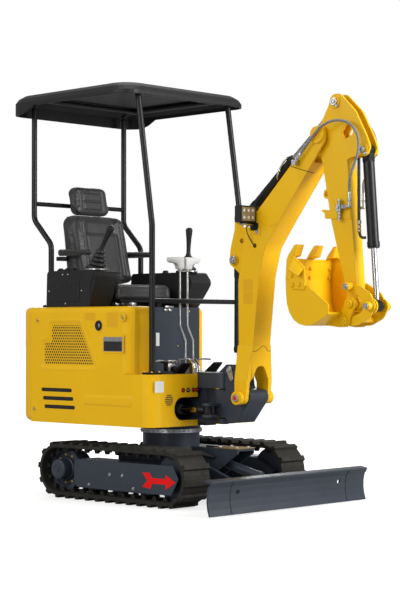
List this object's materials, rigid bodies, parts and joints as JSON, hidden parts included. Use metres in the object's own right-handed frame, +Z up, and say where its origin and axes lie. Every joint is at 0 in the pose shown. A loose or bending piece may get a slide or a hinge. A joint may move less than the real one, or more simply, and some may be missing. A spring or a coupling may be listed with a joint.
{
  "type": "mini excavator",
  "caption": "Compact tracked excavator with canopy, front blade, slewing body, swinging boom, arm and toothed bucket, built as jointed pieces.",
  "frame": {"origin": "on the ground, below the middle of the overall box", "axes": "+X forward, +Y to the machine's left, +Z up"},
  "size_m": [2.47, 1.296, 2.405],
  "materials": {
    "yellow": "satin",
    "slate": "satin",
    "black_metal": "satin",
    "black_plastic": "matte",
    "rubber": "matte",
    "chrome": "polished",
    "steel": "satin",
    "cast": "rough",
    "vinyl": "satin"
  },
  "bodies": {
    "undercarriage": {"center_frame": "slate", "track_frame_right": "slate", "track_frame_left": "slate", "track_right": "rubber", "track_left": "rubber", "sprockets": "slate", "idlers": "slate", "rollers": "slate", "slew_ring": "steel"},
    "blade": {"blade_arms": "slate", "blade_board": "slate", "blade_wings": "slate"},
    "blade_cylinder_barrel": {"blade_barrel": "slate"},
    "blade_cylinder_rod": {"blade_rod": "chrome"},
    "upper": {"upper_frame": "slate", "right_cover": "yellow", "side_grille": "black_metal", "left_cover": "yellow", "counterweight": "yellow", "floor_plate": "black_metal", "seat_base": "slate", "engine": "cast", "canopy_frame": "black_metal", "canopy_roof": "black_plastic", "seat_frame": "black_metal", "seat_cushion": "vinyl", "seat_back": "vinyl", "headrest": "vinyl", "armrests": "vinyl", "consoles": "black_plastic", "joysticks": "black_plastic", "travel_levers": "steel", "pedals": "black_metal"},
    "swing_bracket": {"swing_post": "slate"},
    "swing_cylinder_barrel": {"swing_barrel": "slate"},
    "swing_cylinder_rod": {"swing_rod": "chrome"},
    "boom": {"boom": "yellow", "work_lamp": "black_plastic", "hose_right": "rubber", "hose_left": "rubber", "boom_fittings": "steel"},
    "boom_cylinder_barrel": {"boom_barrel": "black_metal"},
    "boom_cylinder_rod": {"boom_rod": "chrome"},
    "arm_cylinder_barrel": {"arm_barrel": "black_metal"},
    "arm_cylinder_rod": {"arm_rod": "chrome"},
    "arm": {"arm": "yellow", "arm_fittings": "steel"},
    "bucket_cylinder_barrel": {"bucket_barrel": "black_metal"},
    "bucket_cylinder_rod": {"bucket_rod": "chrome"},
    "rocker": {"bucket_rocker": "yellow"},
    "link": {"bucket_link": "yellow"},
    "bucket": {"bucket": "yellow", "bucket_teeth": "steel"}
  },
  "joints": [
    {"name": "slew", "type": "hinge", "parent": "undercarriage", "child": "upper", "pos_m": [-0.345, 0, 0.408], "axis": [0, 0, 1], "continuous": true},
    {"name": "blade_lift", "type": "hinge", "parent": "undercarriage", "child": "blade", "pos_m": [0.015, 0, 0.19], "axis": [0, -1, 0], "range_deg": [-20, 22]},
    {"name": "blade_barrel_pivot", "type": "hinge", "parent": "undercarriage", "child": "blade_cylinder_barrel", "pos_m": [0.085, 0, 0.228], "axis": [0, 1, 0], "range_deg": [-27, 25]},
    {"name": "blade_rod_slide", "type": "slide", "parent": "blade_cylinder_barrel", "child": "blade_cylinder_rod", "axis": [0.9738, 0, -0.2272], "range_m": [-0.03, 0.03]},
    {"name": "boom_swing", "type": "hinge", "parent": "upper", "child": "swing_bracket", "pos_m": [0.085, 0, 0.56], "axis": [0, 0, 1], "range_deg": [-50, 70]},
    {"name": "swing_barrel_pivot", "type": "hinge", "parent": "upper", "child": "swing_cylinder_barrel", "pos_m": [-0.495, -0.19, 0.53], "axis": [0, 0, 1], "range_deg": [-4, 5]},
    {"name": "swing_rod_slide", "type": "slide", "parent": "swing_cylinder_barrel", "child": "swing_cylinder_rod", "axis": [0.9977, 0.0671, 0], "range_m": [-0.125, 0.17]},
    {"name": "boom_lift", "type": "hinge", "parent": "swing_bracket", "child": "boom", "pos_m": [0.306, 0, 0.605], "axis": [0, 1, 0], "range_deg": [-6, 85]},
    {"name": "boom_barrel_pivot", "type": "hinge", "parent": "boom", "child": "boom_cylinder_barrel", "pos_m": [0.207, 0, 1.381], "axis": [0, 1, 0], "range_deg": [-2, 6]},
    {"name": "boom_rod_slide", "type": "slide", "parent": "boom_cylinder_barrel", "child": "boom_cylinder_rod", "axis": [-0.0064, 0, -1], "range_m": [-0.03, 0.26]},
    {"name": "arm_swing_out", "type": "hinge", "parent": "boom", "child": "arm", "pos_m": [0.847, 0, 2.037], "axis": [0, -1, 0], "range_deg": [-10, 110], "deforming": ["hose_right", "hose_left"]},
    {"name": "arm_barrel_pivot", "type": "hinge", "parent": "boom", "child": "arm_cylinder_barrel", "pos_m": [0.246, 0, 1.612], "axis": [0, 1, 0], "range_deg": [-10, 3]},
    {"name": "arm_rod_slide", "type": "slide", "parent": "arm_cylinder_barrel", "child": "arm_cylinder_rod", "axis": [0.7595, 0, 0.6505], "range_m": [-0.325, 0.04]},
    {"name": "bucket_open", "type": "hinge", "parent": "arm", "child": "bucket", "pos_m": [1.073, 0, 1.124], "axis": [0, -1, 0], "range_deg": [-3, 165]},
    {"name": "rocker_pivot", "type": "hinge", "parent": "arm", "child": "rocker", "pos_m": [1.055, 0, 1.215], "axis": [0, -1, 0], "range_deg": [-5, 110]},
    {"name": "link_pivot", "type": "hinge", "parent": "rocker", "child": "link", "pos_m": [1.195, 0, 1.11], "axis": [0, -1, 0], "range_deg": [-42, 3]},
    {"name": "bucket_barrel_pivot", "type": "hinge", "parent": "arm", "child": "bucket_cylinder_barrel", "pos_m": [1.136, 0, 1.938], "axis": [0, 1, 0], "range_deg": [-3, 7]},
    {"name": "bucket_rod_slide", "type": "slide", "parent": "bucket_cylinder_barrel", "child": "bucket_cylinder_rod", "axis": [0.0711, 0, -0.9975], "range_m": [-0.28, 0.02]}
  ],
  "couplings": [
    {"joint": "blade_barrel_pivot", "follows": "blade_lift", "ratio": -1.1356},
    {"joint": "blade_rod_slide", "follows": "blade_lift", "m_per_rad": -0.04979},
    {"joint": "swing_barrel_pivot", "follows": "boom_swing", "ratio": 0.0413},
    {"joint": "swing_rod_slide", "follows": "boom_swing", "m_per_rad": 0.12718},
    {"joint": "boom_barrel_pivot", "follows": "boom_lift", "ratio": 0.0434},
    {"joint": "boom_rod_slide", "follows": "boom_lift", "m_per_rad": 0.16415},
    {"joint": "arm_barrel_pivot", "follows": "arm_swing_out", "ratio": -0.0702},
    {"joint": "arm_rod_slide", "follows": "arm_swing_out", "m_per_rad": -0.15966},
    {"joint": "rocker_pivot", "follows": "bucket_open", "ratio": 0.63091},
    {"joint": "link_pivot", "follows": "bucket_open", "ratio": -0.23394},
    {"joint": "bucket_barrel_pivot", "follows": "bucket_open", "ratio": 0.032848},
    {"joint": "bucket_rod_slide", "follows": "bucket_open", "m_per_rad": -0.093166}
  ]
}
